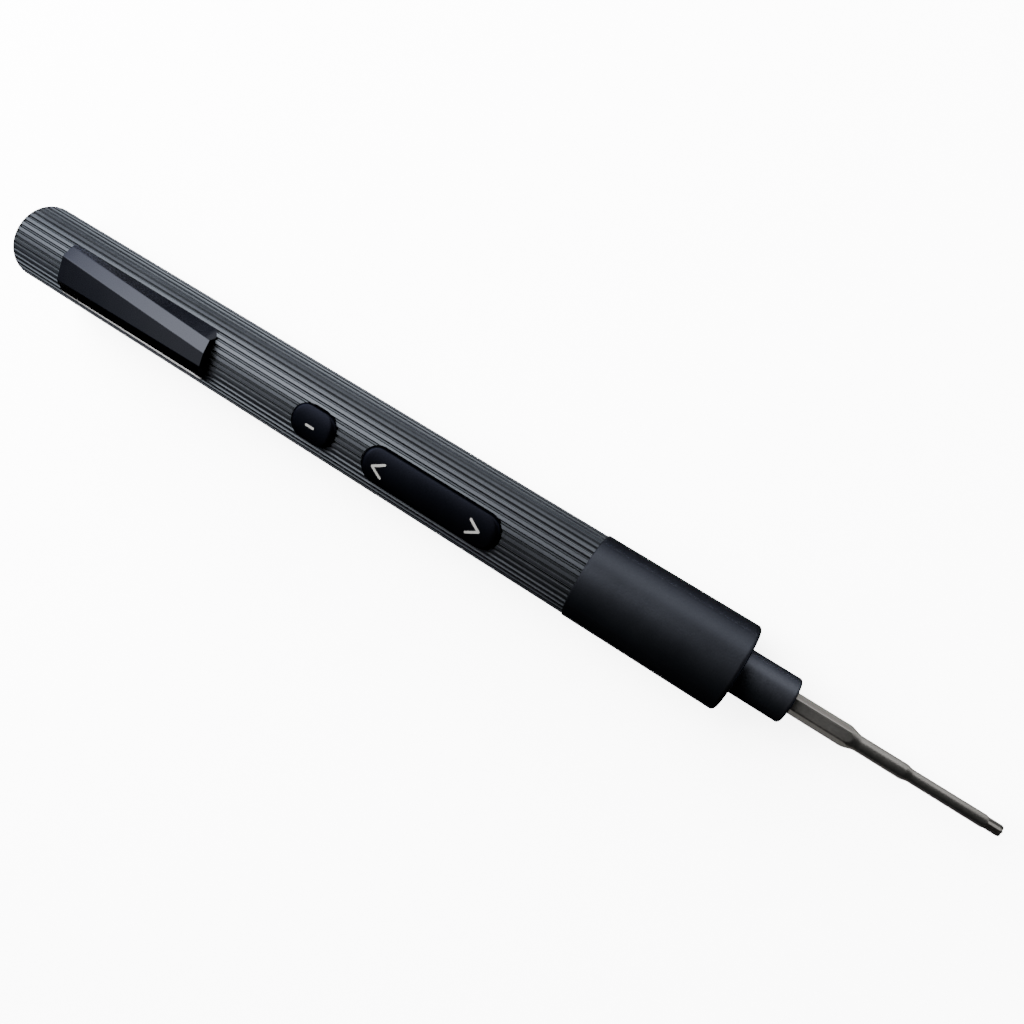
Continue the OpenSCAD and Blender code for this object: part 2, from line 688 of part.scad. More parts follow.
module race_groove() on_axis(bearing_x + bearing_w / 2) rotate_extrude() translate([ball_ring_r, 0]) circle(ball_r + run_gap);
module bearing_outer_race() color("silver") difference() {
    ring(bearing_x, bearing_w, race_r, race_out_r);
    race_groove();
}
module bearing_inner_race() color("silver") difference() {
    ring(bearing_x, bearing_w, race_in_r, spindle_r + 0.01);
    race_groove();
}
module each_ball() for (i = [0:ball_count - 1])
    rotate([i * 360 / ball_count, 0, 0]) translate([bearing_x + bearing_w / 2, ball_ring_r, 0]) children();
module bearing_balls() color("silver") each_ball() sphere(ball_r);
module bearing_cage() color("goldenrod") difference() {
    ring(bearing_x + bearing_w / 2 - 0.8, 1.6, ball_ring_r + 0.2, ball_ring_r - 0.2);
    each_ball() rotate([90, 0, 0]) cylinder(r = ball_r + run_gap, h = 1, center = true);
}

module front_sleeve() color("midnightblue") on_axis(tube_end) rotate_extrude() difference() {
    rounded_profile(sleeve_r, sleeve_len, 0.15, sleeve_round);
    translate([-eps, -eps]) square([sleeve_bore_r + eps, sleeve_len - sleeve_front + eps]);
    translate([-eps, -eps]) square([chuck_r + 0.25 + eps, sleeve_len + 2 * eps]);
}
// Half section of a round bar: chamfered at its start, rounded at its end
module rounded_profile(r, len, start, round) {
    polygon([[0, 0], [r - start, 0], [r, start], [r, len - round], [r - round, len - round], [r - round, len], [0, len]]);
    intersection() {
        translate([r - round, len - round]) circle(round);
        translate([r - round, len - round]) square(round);
    }
}

module chuck() color("darkslategray") difference() {
    union() {
        on_axis(chuck_x) rotate_extrude() rounded_profile(chuck_r, chuck_end - chuck_x, 0.3, chuck_round);
        rod(bearing_x + bearing_w, chuck_x - bearing_x - bearing_w + 0.2, race_in_r - 0.05);
    }
    rod(bearing_x, spindle_end - bearing_x + eps, spindle_nose_r + 0.01);
    rod(socket_x - magnet_t - 0.1, magnet_t + 0.2, bit_hex / 2 + 0.01);
    hex(socket_x, socket_depth + eps, bit_hex + socket_slack);
    // Lead-in at the socket's mouth
    on_axis(chuck_end - 0.4) cylinder(r1 = bit_hex / 2, r2 = bit_hex / 2 + 0.6, h = 0.41);
    translate([chuck_pin_x, 0, -chuck_r]) cylinder(r = chuck_pin_r + 0.01, h = chuck_d);
}
// A hex bar along the axis, with its width across the flats
module hex(x0, len, flats) on_axis(x0) rotate([0, 0, bit_turn]) cylinder(d = flats / cos(30), h = len, $fn = 6);
module chuck_pin() color("silver") translate([chuck_pin_x, 0, -chuck_r + 0.15])
    cylinder(r = chuck_pin_r, h = chuck_d - 0.3);
module bit_magnet() color("silver") rod(socket_x - magnet_t, magnet_t, bit_hex / 2);

// ---- Bit ----

// Outline of the six-lobe tip
module six_lobes(r) difference() {
    circle(r);
    for (i = [0:5]) rotate(i * 60) translate([r * 1.12, 0]) circle(r * 0.36);
}

module screwdriver_bit() color("gray") {
    hex_end = chuck_end + bit_hex_out;
    shaft_x = hex_end + bit_shoulder;
    taper_x = shaft_x + bit_shaft_len;
    tip_x = taper_x + bit_taper;
    corner_r = bit_hex / 2 / cos(30) - 0.06;
    lobe_r = bit_tip_d / 2 - 0.05;
    intersection() {
        hex(socket_x + 0.02, hex_end + bit_shoulder - socket_x, bit_hex);
        // Turned envelope: chamfered rear end and rounded shoulder
        on_axis(0) rotate_extrude() polygon(concat(
            [[0, socket_x], [corner_r - 0.5, socket_x], [corner_r, socket_x + 0.5], [corner_r, hex_end]],
            [for (a = [10:20:90]) [bit_shaft_d / 2 + (corner_r - bit_shaft_d / 2) * cos(a), hex_end + bit_shoulder * sin(a)]],
            [[0, shaft_x]]));
    }
    on_axis(0) rotate_extrude() polygon([[0, shaft_x - 1], [bit_shaft_d / 2, shaft_x - 1], [bit_shaft_d / 2, taper_x],
        [bit_tip_d / 2, tip_x], [bit_tip_d / 2, tip_x + bit_tip_len - lobe_len], [0, tip_x + bit_tip_len - lobe_len]]);
    intersection() {
        section(tip_x + bit_tip_len - lobe_len - 0.2, lobe_len + 0.2) six_lobes(lobe_r);
        on_axis(tip_x) rotate_extrude() polygon([[0, 0], [lobe_r + 0.1, 0], [lobe_r + 0.1, bit_tip_len - 0.5],
            [lobe_r - 0.3, bit_tip_len], [0, bit_tip_len]]);
    }
}

body_tube();
rear_cap();
usb_shell();
usb_tongue();
charge_board();
battery_cell();
battery_strips();
battery_pads();
clip_foot();
clip_pin();
clip_spring();
clip_foot_screw();
pocket_clip();
chassis_tray();
main_board();
board_chips();
board_screws();
mode_switch();
mode_plunger();
mode_button();
rocker_switches();
rocker_plungers();
rocker_bracket();
rocker_pin();
direction_rocker();
motor_can();
motor_end_bell();
motor_terminals();
motor_magnets();
motor_bush();
rotor_shaft();
rotor_core();
commutator();
pinion();
gearbox_plate();
ring_gear();
gearbox_cover();
spindle_bush();
color("gold") planet(stage_a, 0);  // planet_a1
color("gold") planet(stage_a, 1);  // planet_a2
color("gold") planet(stage_a, 2);  // planet_a3
carrier_pins();
sun_carrier();
color("gold") planet(stage_b, 0);  // planet_b1
color("gold") planet(stage_b, 1);  // planet_b2
color("gold") planet(stage_b, 2);  // planet_b3
spindle_pins();
spindle();
nose_frame();
bearing_outer_race();
bearing_inner_race();
bearing_balls();
bearing_cage();
front_sleeve();
chuck();
chuck_pin();
bit_magnet();
screwdriver_bit();
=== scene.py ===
"""An electric torque screwdriver: ribbed tube, keys, pocket clip, smooth sleeve, bit holder and bit."""

import json
import math

import bmesh
import bpy
from mathutils import Matrix, Vector


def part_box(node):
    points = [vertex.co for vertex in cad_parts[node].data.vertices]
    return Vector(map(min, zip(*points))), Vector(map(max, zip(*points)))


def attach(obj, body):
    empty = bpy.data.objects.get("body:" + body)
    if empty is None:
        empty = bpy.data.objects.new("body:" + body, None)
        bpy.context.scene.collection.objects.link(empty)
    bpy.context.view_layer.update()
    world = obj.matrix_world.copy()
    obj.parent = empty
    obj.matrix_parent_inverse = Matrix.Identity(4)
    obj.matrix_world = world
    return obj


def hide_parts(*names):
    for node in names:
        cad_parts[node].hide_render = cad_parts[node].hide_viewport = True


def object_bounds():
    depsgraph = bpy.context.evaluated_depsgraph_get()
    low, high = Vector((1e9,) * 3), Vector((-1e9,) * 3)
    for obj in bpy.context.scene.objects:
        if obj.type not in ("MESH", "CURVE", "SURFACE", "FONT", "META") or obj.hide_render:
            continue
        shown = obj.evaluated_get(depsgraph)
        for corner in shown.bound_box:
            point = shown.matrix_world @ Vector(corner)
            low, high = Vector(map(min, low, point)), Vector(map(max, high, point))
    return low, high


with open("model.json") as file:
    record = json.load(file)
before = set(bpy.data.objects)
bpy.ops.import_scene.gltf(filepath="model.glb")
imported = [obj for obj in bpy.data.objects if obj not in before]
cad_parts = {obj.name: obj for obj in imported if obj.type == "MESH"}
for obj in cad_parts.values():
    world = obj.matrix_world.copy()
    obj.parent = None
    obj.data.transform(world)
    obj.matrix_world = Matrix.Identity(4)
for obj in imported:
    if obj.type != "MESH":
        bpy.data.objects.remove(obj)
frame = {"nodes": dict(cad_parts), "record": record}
cad_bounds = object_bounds()
nodes = frame["nodes"]
MM = 0.001


# ---- Places taken from the frame ----

def box_mm(node):
    """A CAD node's lowest and highest corners, in millimetres."""
    low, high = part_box(node)
    return Vector(low) / MM, Vector(high) / MM


BODY_R = box_mm("body_tube")[1].z         # radius of the rib crests
FLOOR_Z = cad_bounds[0].z
mode_low, mode_high = box_mm("mode_button")
rocker_low, rocker_high = box_mm("direction_rocker")
clip_low, clip_high = box_mm("pocket_clip")


# ---- Camera ----

AIM = Vector((133.62, 3.24, 0)) * MM      # the point of the tool's plane that the camera looks at
DISTANCE = 167.8 * MM
AZIMUTH, ELEVATION, ROLL = 56.42, 65.91, -117.29
LENS = 28.97


def make_camera():
    data = bpy.data.cameras.new("camera")
    data.lens = LENS
    data.clip_start = 0.005
    camera = bpy.data.objects.new("camera", data)
    bpy.context.scene.collection.objects.link(camera)
    turn = (Matrix.Rotation(math.radians(AZIMUTH + 90), 4, "Z")
            @ Matrix.Rotation(math.radians(90 - ELEVATION), 4, "X")
            @ Matrix.Rotation(math.radians(ROLL), 4, "Z"))
    camera.matrix_world = Matrix.Translation(AIM) @ turn @ Matrix.Translation((0, 0, DISTANCE))
    bpy.context.scene.camera = camera


# ---- Mesh helpers ----

def mesh_piece(name, points, faces, material, smooth_angle=30):
    """A new object from points in millimetres, with faces smooth up to an angle in degrees."""
    mesh = bpy.data.meshes.new(name)
    mesh.from_pydata([Vector(p) * MM for p in points], [], faces)
    mesh.validate()
    shell = bmesh.new()
    shell.from_mesh(mesh)
    bmesh.ops.recalc_face_normals(shell, faces=shell.faces)
    shell.to_mesh(mesh)
    shell.free()
    mesh.materials.append(material)
    for polygon in mesh.polygons:
        polygon.use_smooth = True
    mesh.set_sharp_from_angle(angle=math.radians(smooth_angle))
    piece = bpy.data.objects.new(name, mesh)
    bpy.context.scene.collection.objects.link(piece)
    return piece


def ring_faces(ring_count, ring_size, first=0):
    """Quads between rings of points that follow one another."""
    faces = []
    for i in range(ring_count - 1):
        for j in range(ring_size):
            a = first + i * ring_size + j
            b = first + i * ring_size + (j + 1) % ring_size
            faces.append((a, b, b + ring_size, a + ring_size))
    return faces


# ---- Materials ----

GLOSS_SPREAD = 0.12        # how much the roughness varies, as a share of it
GRAIN_STRENGTH = 0.6       # of the grain's bump


def new_material(name):
    material = bpy.data.materials.new(name)
    material.use_nodes = True
    return material, material.node_tree.nodes, material.node_tree.links


def noise(nodes_, links, coordinates, stretch, scale, detail=4.0, roughness=0.6):
    """Noise of a given size in the part's own frame, stretched along its axes."""
    mapping = nodes_.new("ShaderNodeMapping")
    mapping.inputs["Scale"].default_value = stretch
    links.new(coordinates, mapping.inputs["Vector"])
    texture = nodes_.new("ShaderNodeTexNoise")
    texture.inputs["Scale"].default_value = scale
    texture.inputs["Detail"].default_value = detail
    texture.inputs["Roughness"].default_value = roughness
    links.new(mapping.outputs["Vector"], texture.inputs["Vector"])
    return texture.outputs["Fac"]


def span(nodes_, links, value, low, high, from_low=0.3, from_high=0.7):
    """Maps a noise value to a range."""
    node = nodes_.new("ShaderNodeMapRange")
    node.inputs["From Min"].default_value = from_low
    node.inputs["From Max"].default_value = from_high
    node.inputs["To Min"].default_value = low
    node.inputs["To Max"].default_value = high
    links.new(value, node.inputs["Value"])
    return node.outputs["Result"]


def painted_groove_shade(nodes_, links, coordinates, crest_r, depth, deepest):
    """Painted shade in the grooves: 1 on the crests, falling to deepest at the bottom of the grooves, by
    distance from the tool's axis.
    """
    across = nodes_.new("ShaderNodeVectorMath")
    across.operation = "MULTIPLY"
    across.inputs[1].default_value = (0, 1, 1)
    links.new(coordinates, across.inputs[0])
    reach = nodes_.new("ShaderNodeVectorMath")
    reach.operation = "LENGTH"
    links.new(across.outputs["Vector"], reach.inputs[0])
    return span(nodes_, links, reach.outputs["Value"], deepest, 1, (crest_r - depth) * MM, crest_r * MM)


def finish(name, dark, light, rough, metallic=0.0, specular=0.5, patch=90.0, grain=6000.0, depth=0.004,
           stretch=(1, 1, 1), edge=1.0, painted_shade_in_grooves=None):
    """A surface with colour that drifts between two shades, uneven gloss and a fine grain.

    patch and grain are noise scales, depth is the grain's height in millimetres and edge the tint
    of the gloss at a glancing angle. painted_shade_in_grooves gives painted_groove_shade its crest radius,
    depth and deepest, for painted shade that darkens the grooves.
    """
    material, made, links = new_material(name)
    shader = made["Principled BSDF"]
    shader.inputs["Metallic"].default_value = metallic
    shader.inputs["Specular IOR Level"].default_value = specular
    shader.inputs["Specular Tint"].default_value = (edge, edge, edge, 1)
    coordinates = made.new("ShaderNodeTexCoord").outputs["Object"]
    patches = noise(made, links, coordinates, (1, 1, 1), patch)
    grains = noise(made, links, coordinates, stretch, grain, detail=2.0)
    mix = made.new("ShaderNodeMix")
    mix.data_type = "RGBA"
    mix.inputs["A"].default_value = (*dark, 1)
    mix.inputs["B"].default_value = (*light, 1)
    both = made.new("ShaderNodeMath")
    both.operation = "MULTIPLY_ADD"
    both.inputs[1].default_value = 0.5
    links.new(grains, both.inputs[0])
    halved = made.new("ShaderNodeMath")
    halved.operation = "MULTIPLY"
    halved.inputs[1].default_value = 0.5
    links.new(patches, halved.inputs[0])
    links.new(halved.outputs["Value"], both.inputs[2])
    links.new(span(made, links, both.outputs["Value"], 0, 1), mix.inputs["Factor"])
    colour = mix.outputs["Result"]
    # Painted shade: the colour is darkened towards the bottom of the grooves, standing in for the shade that
    # falls there.
    if painted_shade_in_grooves:
        painted_shade = painted_groove_shade(made, links, coordinates, *painted_shade_in_grooves)
        painted_darkening = made.new("ShaderNodeVectorMath")
        painted_darkening.operation = "SCALE"
        links.new(colour, painted_darkening.inputs["Vector"])
        links.new(painted_shade, painted_darkening.inputs["Scale"])
        colour = painted_darkening.outputs["Vector"]
    links.new(colour, shader.inputs["Base Color"])
    gloss = span(made, links, both.outputs["Value"], rough * (1 - GLOSS_SPREAD), rough * (1 + GLOSS_SPREAD))
    links.new(gloss, shader.inputs["Roughness"])
    bump = made.new("ShaderNodeBump")
    bump.inputs["Strength"].default_value = GRAIN_STRENGTH
    bump.inputs["Distance"].default_value = depth * MM
    links.new(grains, bump.inputs["Height"])
    links.new(bump.outputs["Normal"], shader.inputs["Normal"])
    return material


DRAWN = (0.06, 1, 1)       # grain drawn out along the tool's axis
TURNED = (1, 0.08, 0.08)   # grain round the tool's axis

MATERIALS = {
    # The ribbed tube gets painted shade: its colour darkens towards the bottom of the grooves.
    "ribbed_aluminium": finish("ribbed_aluminium", (0.0088, 0.0096, 0.0109), (0.0113, 0.0123, 0.0140), 0.46,
                               metallic=1, edge=0.15, grain=9000, depth=0.003, stretch=DRAWN,
                               painted_shade_in_grooves=(BODY_R, 0.3, 0.6)),
    "black_plastic": finish("black_plastic", (0.0030, 0.0031, 0.0036), (0.0042, 0.0043, 0.0050), 0.6,
                            specular=0.015, grain=5000, edge=0.3),
    "steel": finish("steel", (0.50, 0.49, 0.48), (0.62, 0.61, 0.60), 0.28, metallic=1, depth=0.002,
                    stretch=TURNED),
    "bit_steel": finish("bit_steel", (0.026, 0.025, 0.024), (0.035, 0.034, 0.032), 0.40, metallic=1, edge=0.4,
                        grain=7000, stretch=(0.2, 1, 1), depth=0.003),
    "gold_contact": finish("gold_contact", (0.70, 0.52, 0.20), (0.80, 0.62, 0.28), 0.25, metallic=1,
                           depth=0.001),
    "circuit_board": finish("circuit_board", (0.008, 0.05, 0.025), (0.012, 0.075, 0.04), 0.35, depth=0.003),
    "chip_black": finish("chip_black", (0.012, 0.012, 0.012), (0.02, 0.02, 0.02), 0.6, depth=0.005),
    "cell_wrap": finish("cell_wrap", (0.03, 0.11, 0.32), (0.04, 0.14, 0.38), 0.3, depth=0.002),
    "nickel": finish("nickel", (0.52, 0.50, 0.46), (0.64, 0.62, 0.58), 0.3, metallic=1, depth=0.002),
    "foam": finish("foam", (0.03, 0.03, 0.03), (0.06, 0.06, 0.06), 0.95, grain=3000, depth=0.08),
    "clip_navy": finish("clip_navy", (0.0037, 0.0039, 0.0046), (0.0045, 0.0047, 0.0056), 0.27, metallic=1,
                        edge=0.2, depth=0.002),
    "key_navy": finish("key_navy", (0.0009, 0.0010, 0.0015), (0.0012, 0.0013, 0.0019), 0.42, metallic=1,
                       edge=0.1, depth=0.004),
    "mark_grey": finish("mark_grey", (0.070, 0.069, 0.066), (0.080, 0.079, 0.076), 0.7, specular=0.1,
                        depth=0.002),
    "tray_grey": finish("tray_grey", (0.05, 0.05, 0.055), (0.07, 0.07, 0.078), 0.6),
    "switch_white": finish("switch_white", (0.72, 0.72, 0.70), (0.80, 0.80, 0.78), 0.5, depth=0.002),
    "magnet_grey": finish("magnet_grey", (0.05, 0.05, 0.055), (0.08, 0.08, 0.085), 0.6, metallic=0.6),
    "bronze": finish("bronze", (0.30, 0.18, 0.07), (0.42, 0.26, 0.11), 0.45, metallic=1, depth=0.01),
    "copper": finish("copper", (0.45, 0.17, 0.07), (0.58, 0.24, 0.10), 0.3, metallic=1),
    "gear_brass": finish("gear_brass", (0.55, 0.40, 0.14), (0.66, 0.50, 0.20), 0.3, metallic=1),
    "gear_steel": finish("gear_steel", (0.28, 0.28, 0.28), (0.38, 0.38, 0.38), 0.35, metallic=1),
    "sleeve_navy": finish("sleeve_navy", (0.0048, 0.0052, 0.0064), (0.0062, 0.0067, 0.0082), 0.46, metallic=1,
                          edge=0.12, grain=8000, depth=0.004),
    "chuck_grey": finish("chuck_grey", (0.0072, 0.0077, 0.0094), (0.0096, 0.0103, 0.0125), 0.46, metallic=1,
                         edge=0.12, grain=8000, depth=0.004, stretch=TURNED),
}


def dress_frame():
    """Gives every CAD node the material of its slot."""
    for part in frame["record"]["subparts"]:
        mesh = nodes[part["node"]].data
        mesh.materials.clear()
        mesh.materials.append(MATERIALS[part["material_slot"]])


# ---- Keys, with a rounded rim round the crown ----

RIM = 0.35                 # radius of the rim along the sides
END_RIM = 1.4              # and at the ends
KEY_DEPTH = 2.4            # of the key below the rib crests
CROWN_SHARES = (0.25, 0.5, 0.72, 0.9, 0.985)     # how far in from the rim each ring of the crown lies


def key_piece(node, body):
    """A crowned key: a stadium in plan whose top is concentric with the tube."""
    low, high = box_mm(node)
    crown, width, length = high.z, high.y - low.y, high.x - low.x
    middle = (low.x + high.x) / 2
    end_r = width / 2
    foot = BODY_R - KEY_DEPTH
    arc_steps, side_steps, rim_steps = 28, 16, 8
    outline = []           # point and outward direction, seen from above
    for side in (1, -1):
        centre = side * (length / 2 - end_r)
        for i in range(arc_steps + 1):
            angle = math.radians(-90 + 180 * i / arc_steps) + (math.pi if side < 0 else 0)
            out = Vector((math.cos(angle), math.sin(angle)))
            outline.append((Vector((centre, 0)) + out * end_r, out))
        for i in range(1, side_steps):
            x = centre * (1 - 2 * i / side_steps)
            outline.append((Vector((x, side * end_r)), Vector((0, side))))
    rings = [[(p, 0, foot) for p, _ in outline]]     # point, drop below the crown, or a height of its own
    for k in range(rim_steps + 1):
        phi = math.pi / 2 * k / rim_steps
        ring = []
        for p, out in outline:
            rim = RIM + (END_RIM - RIM) * abs(out.x) ** 2
            ring.append((p - out * rim * (1 - math.cos(phi)), rim * (1 - math.sin(phi)), None))
        rings.append(ring)
    spine = length / 2 - end_r
    inner = [p for p, _, _ in rings[-1]]
    for share in CROWN_SHARES:
        rings.append([(p.lerp(Vector((max(-spine, min(spine, p.x)), 0)), share), 0, None) for p in inner])
    points = []
    for ring in rings:
        for p, drop, height in ring:
            z = height if height is not None else math.sqrt(crown ** 2 - p.y ** 2) - drop
            points.append((middle + p.x, p.y, z))
    faces = ring_faces(len(rings), len(outline))
    faces.append(tuple(range(len(points) - len(outline), len(points))))
    faces.append(tuple(reversed(range(len(outline)))))
    piece = mesh_piece(node + "_cap", points, faces, MATERIALS["key_navy"], smooth_angle=60)
    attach(piece, body)
    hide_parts(node)


# ---- Pocket clip, with broken edges ----

CLIP_ROUND = 1.3           # rounding of the front corners, seen from above
# Half width and height of each edge at the rear and front. None is a foot, on the rib crests.
CLIP_REAR = ((5.95, None), (5.35, 7.45), (2.92, 9.45))
CLIP_FRONT = ((6.06, None), (4.2, 9.82), (1.57, 11.19))
EDGE_BREAK = 0.16          # how far the rounding of an edge reaches along each face
CLIP_WALL_GAP = 0.12       # between the clip and the rib crests
CLIP_LEAN = 1.6            # how far the front of the top reaches past the front of the feet
LEAN_POWER = 0.6           # how the lean falls off from the middle to the feet
CLIP_STATIONS = 12         # along the clip, up to its rounded corners
REAR_BREAK = 0.08          # broken edge round the rear end
ABOVE_RIBS = 0.2           # the rear's broken edge acts only this far above the crests
UNDER_SHARE = 0.985        # width of the hollow underneath, as a share of the clip's
THINNEST = 0.02            # least thickness of the clip's wall


def rounded_path(corners, reach, steps=4):
    """A path through corners with each inner corner rounded over reach."""
    path = [corners[0]]
    for before, corner, after in zip(corners, corners[1:], corners[2:]):
        a = corner + (before - corner).normalized() * reach
        b = corner + (after - corner).normalized() * reach
        for i in range(steps + 1):
            t = i / steps
            path.append(a * (1 - t) ** 2 + corner * (2 * t * (1 - t)) + b * t ** 2)
    path.append(corners[-1])
    return path


def clip_section(share, narrowed):
    """The clip's section at a share of its length, narrowed by the rounding of its front corners."""
    half = []
    for rear, front in zip(CLIP_REAR, CLIP_FRONT):
        w = rear[0] + (front[0] - rear[0]) * share
        if rear[1] is None:
            h = math.sqrt(BODY_R ** 2 - w ** 2)
        else:
            h = rear[1] + (front[1] - rear[1]) * share
        half.append(Vector((w, h)))
    corners = [Vector((-p.x, p.y)) for p in half] + half[::-1]
    path = rounded_path(corners, EDGE_BREAK)
    limit = half[0].x - narrowed
    return [Vector((max(-limit, min(limit, p.x)), p.y)) for p in path]


def clip_blade():
    """The pocket clip as a faceted shell, hollow underneath, whose front leans forward."""
    length = clip_high.x - clip_low.x
    straight = length - CLIP_ROUND - REAR_BREAK
    stations = [0, REAR_BREAK]
    stations += [REAR_BREAK + straight * i / CLIP_STATIONS for i in range(1, CLIP_STATIONS + 1)]
    stations += [length - CLIP_ROUND * (1 - math.sin(math.radians(a))) for a in range(15, 91, 15)]
    points = []
    inner_r = BODY_R + CLIP_WALL_GAP
    foot = CLIP_FRONT[0][0]
    for x in stations:
        into = max(0, x - (length - CLIP_ROUND)) / CLIP_ROUND
        narrowed = CLIP_ROUND * (1 - math.sqrt(max(0, 1 - into ** 2)))
        sink = max(0, REAR_BREAK - x)
        top = clip_section(x / length, narrowed)
        under = []
        for p in reversed(top):
            y = p.x * UNDER_SHARE
            under.append(Vector((y, min(p.y - THINNEST, math.sqrt(inner_r ** 2 - y ** 2)))))
        lean = CLIP_LEAN * max(0, (x - length / 2) / (length / 2)) ** 2
        for p in top + under:
            ahead = lean * max(0, 1 - abs(p.x) / foot) ** LEAN_POWER
            drop = sink if p.y > BODY_R + ABOVE_RIBS else 0
            points.append((clip_low.x + x + ahead, p.x, p.y - drop))
    size = len(points) // len(stations)
    half = size // 2
    faces = ring_faces(len(stations), size)
    for start, turned in ((0, False), (len(points) - size, True)):
        for i in range(half - 1):
            quad = (start + i, start + i + 1, start + size - 2 - i, start + size - 1 - i)
            faces.append(tuple(reversed(quad)) if turned else quad)
    piece = mesh_piece("clip_blade", points, faces, MATERIALS["clip_navy"], smooth_angle=25)
    flat = piece.modifiers.new("flat faces", "WEIGHTED_NORMAL")
    flat.keep_sharp = True
    flat.weight = 100
    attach(piece, "clip")
    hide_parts("pocket_clip")


# ---- Bit ----

HEX = 4.0                  # across flats
HEX_CORNER = 0.07          # how much the corners are broken
HEX_TURN = -21.5           # the direction one flat faces, in degrees from the keys
SHOULDER_START, SHOULDER_END = 209.0, 211.9
SHAFT_R, TIP_R = 1.58, 1.28
STEP = (220.4, 222.0)      # from the shaft's radius to the tip's
STEP_LEAD = 3              # from the last ring of the shaft to the step
TIP_MIDDLE = 228           # a ring half way along the plain tip
LOBES_START, LOBES_RUN = 235.6, 0.7     # the lobes deepen to their full depth over the run
LOBE_DEPTH = 0.26
LOBE_POWER = 0.8           # below 1 the grooves between the lobes are broad
END_ROUND, END_DROP = 0.75, 0.55        # rounding of the end, along the axis and in radius
REAR_LENGTH, REAR_DROP = 0.35, 0.3      # chamfer at the rear end
BIT_SIDES = 144


def smooth(t):
    """Eases from 0 to 1 as t does, and stays there outside."""
    t = max(0, min(1, t))
    return t * t * (3 - 2 * t)


def bit_radius(x, angle, end):
    """The bit's outline at x, as a turned profile that is never outside the hexagon or the lobes."""
    flat = math.radians((angle - HEX_TURN + 30) % 60 - 30)
    corner = HEX / math.sqrt(3) - HEX_CORNER
    hexagon = min(HEX / 2 / math.cos(flat), corner)
    turned = corner + (SHAFT_R - corner) * smooth((x - SHOULDER_START) / (SHOULDER_END - SHOULDER_START))
    turned += (TIP_R - SHAFT_R) * smooth((x - STEP[0]) / (STEP[1] - STEP[0]))
    r = min(hexagon, turned) if x < SHOULDER_END else turned
    if x > LOBES_START:
        depth = LOBE_DEPTH * smooth((x - LOBES_START) / LOBES_RUN)
        r -= depth * (0.5 - 0.5 * math.cos(math.radians(6 * (angle - HEX_TURN)))) ** LOBE_POWER
    left = end - x
    if left < END_ROUND:
        r -= END_DROP * (1 - math.sqrt(max(0, 1 - ((END_ROUND - left) / END_ROUND) ** 2)))
    return r


def bit_piece():
    """The bit: hexagonal shank, S-shaped shoulder, turned shaft and tip, and six lobes at the end."""
    low, high = box_mm("screwdriver_bit")
    end = high.x
    stations = [low.x, low.x + REAR_LENGTH]
    stations += [SHOULDER_START - 0.01 + (SHOULDER_END - SHOULDER_START) * i / 20 for i in range(21)]
    stations += [STEP[0] - STEP_LEAD]
    stations += [STEP[0] + (STEP[1] - STEP[0]) * i / 8 for i in range(9)]
    stations += [TIP_MIDDLE]
    stations += [LOBES_START + LOBES_RUN * i / 6 for i in range(7)]
    stations += [end - END_ROUND - 0.02]
    stations += [end - END_ROUND * (1 - math.sin(math.radians(a))) for a in range(0, 91, 10)]
    points = []
    for x in stations:
        for j in range(BIT_SIDES):
            angle = 360 * j / BIT_SIDES
            r = bit_radius(x, angle, end) - (REAR_DROP if x == low.x else 0)
            points.append((x, r * math.sin(math.radians(-angle)), r * math.cos(math.radians(-angle))))
    faces = [tuple(reversed(f)) for f in ring_faces(len(stations), BIT_SIDES)]
    faces.append(tuple(range(BIT_SIDES)))
    faces.append(tuple(reversed(range(len(points) - BIT_SIDES, len(points)))))
    piece = mesh_piece("bit_blade", points, faces, MATERIALS["bit_steel"], smooth_angle=22)
    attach(piece, "bit")
    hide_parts("screwdriver_bit")


# ---- Marks on the keys ----

MARK_RISE = 0.03           # above the crown
MARK_SINK = 0.06           # below it
STROKE = 0.52              # width of a stroke
STROKE_END = 0.02          # least share of the width at a stroke's rounded ends
MARK_Y = -0.3              # the marks sit a little off the keys' centre line
DASH = (-1.05, 0.75)       # ends of the mode key's dash, from the key's middle
ARM = (2.5, 1.52)          # an arrow's arm, along the tool and across it
# Name, place of the tip from the rocker's middle, and the side the arms go to
ARROWS = (("loosen_mark", -13.5, 1), ("tighten_mark", 12.6, -1))


def mark(name, strokes, crown, body):
    """Raised strokes on a crowned key, each from one point to another of its developed surface."""
    points, faces = [], []
    cap_steps, run_steps, lanes = 6, 10, (-1, -0.5, 0, 0.5, 1)
    for start, end, width in strokes:
        start, end = Vector(start), Vector(end)
        run = end - start
        along = run.normalized()
        across = Vector((-along.y, along.x)) * width / 2
        turns = [math.pi / 2 * i / cap_steps for i in range(cap_steps + 1)]
        stations = [(-math.cos(turn) * width / 2, math.sin(turn)) for turn in turns]
        stations += [(run.length * i / run_steps, 1) for i in range(1, run_steps + 1)]
        stations += [(run.length - d, w) for d, w in reversed(stations[:cap_steps])]
        first = len(points)
        for d, w in stations:
            for rise, order in ((MARK_RISE, lanes), (-MARK_SINK, lanes[::-1])):
                for lane in order:
                    p = start + along * d + across * lane * max(w, STROKE_END)
                    angle = (p.y + MARK_Y) / crown
                    r = crown + rise
                    points.append((p.x, r * math.sin(angle), r * math.cos(angle)))
        ring = 2 * len(lanes)
        faces.extend(ring_faces(len(stations), ring, first))
        faces.append(tuple(range(first, first + ring)))
        faces.append(tuple(range(len(points) - ring, len(points))))
    piece = mesh_piece(name, points, faces, MATERIALS["mark_grey"])
    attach(piece, body)


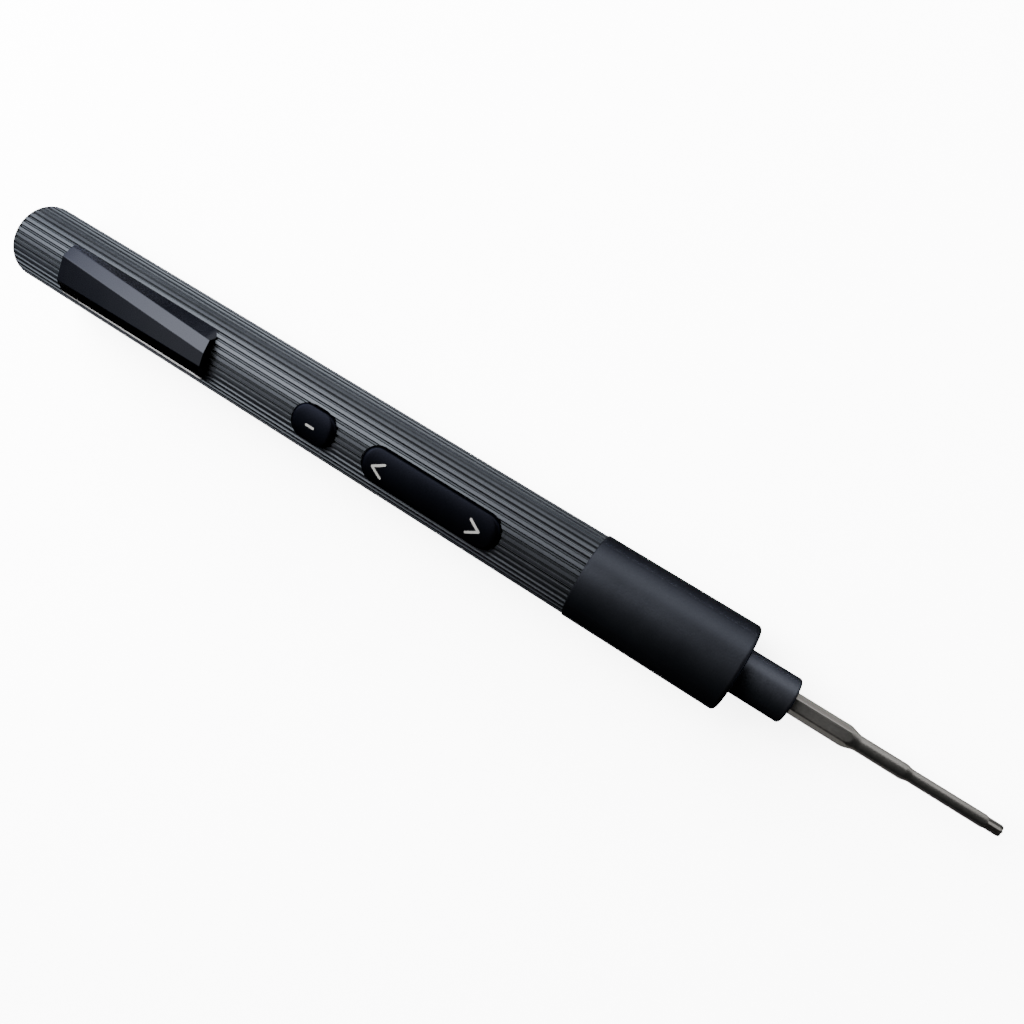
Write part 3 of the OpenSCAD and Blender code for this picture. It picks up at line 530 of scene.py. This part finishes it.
def key_marks():
    crown = mode_high.z
    mode_x = (mode_low.x + mode_high.x) / 2
    rocker_x = (rocker_low.x + rocker_high.x) / 2
    mark("mode_mark", [((mode_x + DASH[0], 0), (mode_x + DASH[1], 0), STROKE)], crown, "mode_key")
    for name, tip, direction in ARROWS:
        tip_x = rocker_x + tip
        arms = [((tip_x, 0), (tip_x + direction * ARM[0], side * ARM[1]), STROKE) for side in (1, -1)]
        mark(name, arms, crown, "rocker")


# ---- Floor and light ----

FLOOR_GLOW = 5.0           # a light table under the tool, which keeps its shadow faint
FLOOR_HALF = 10.0          # half the floor's width, in metres
WORLD_GLOW = 0.12
AIM_POINT = (0.08, 0, 0)   # what the softboxes face
# Name, place and size in metres, and power in watts
SOFTBOXES = (
    ("key", (-0.50, 0.42, 0.50), 0.8, 0.9, 120),
    ("side", (0.12, 0.85, 0.20), 1.0, 0.35, 22),
    ("fill", (-0.52, -0.26, 0.62), 0.6, 0.5, 9),
    ("low", (-0.52, -0.66, 0.17), 0.5, 0.3, 4),
)


def make_floor():
    size = FLOOR_HALF
    mesh = bpy.data.meshes.new("floor")
    corners = [(-size, -size), (size, -size), (size, size), (-size, size)]
    mesh.from_pydata([(x, y, FLOOR_Z) for x, y in corners], [], [(0, 1, 2, 3)])
    material = finish("floor_white", (0.90, 0.90, 0.90), (0.92, 0.92, 0.92), 0.9, specular=0.1, patch=3,
                      grain=300, depth=0.01)
    shader = material.node_tree.nodes["Principled BSDF"]
    shader.inputs["Emission Color"].default_value = (1, 1, 1, 1)
    shader.inputs["Emission Strength"].default_value = FLOOR_GLOW
    mesh.materials.append(material)
    floor = bpy.data.objects.new("floor", mesh)
    bpy.context.scene.collection.objects.link(floor)


def softbox(name, place, width, height, power):
    data = bpy.data.lights.new(name, "AREA")
    data.shape = "RECTANGLE"
    data.size, data.size_y = width, height
    data.energy = power
    light = bpy.data.objects.new(name, data)
    light.location = place
    light.rotation_mode = "QUATERNION"
    light.rotation_quaternion = (Vector(AIM_POINT) - Vector(place)).to_track_quat("-Z", "Y")
    bpy.context.scene.collection.objects.link(light)


def make_light():
    world = bpy.data.worlds.new("studio")
    world.use_nodes = True
    background = world.node_tree.nodes["Background"]
    background.inputs["Color"].default_value = (1, 1, 1, 1)
    background.inputs["Strength"].default_value = WORLD_GLOW
    bpy.context.scene.world = world
    for box in SOFTBOXES:
        softbox(*box)


make_camera()
dress_frame()
key_piece("mode_button", "mode_key")
key_piece("direction_rocker", "rocker")
key_marks()
clip_blade()
bit_piece()
make_floor()
make_light()
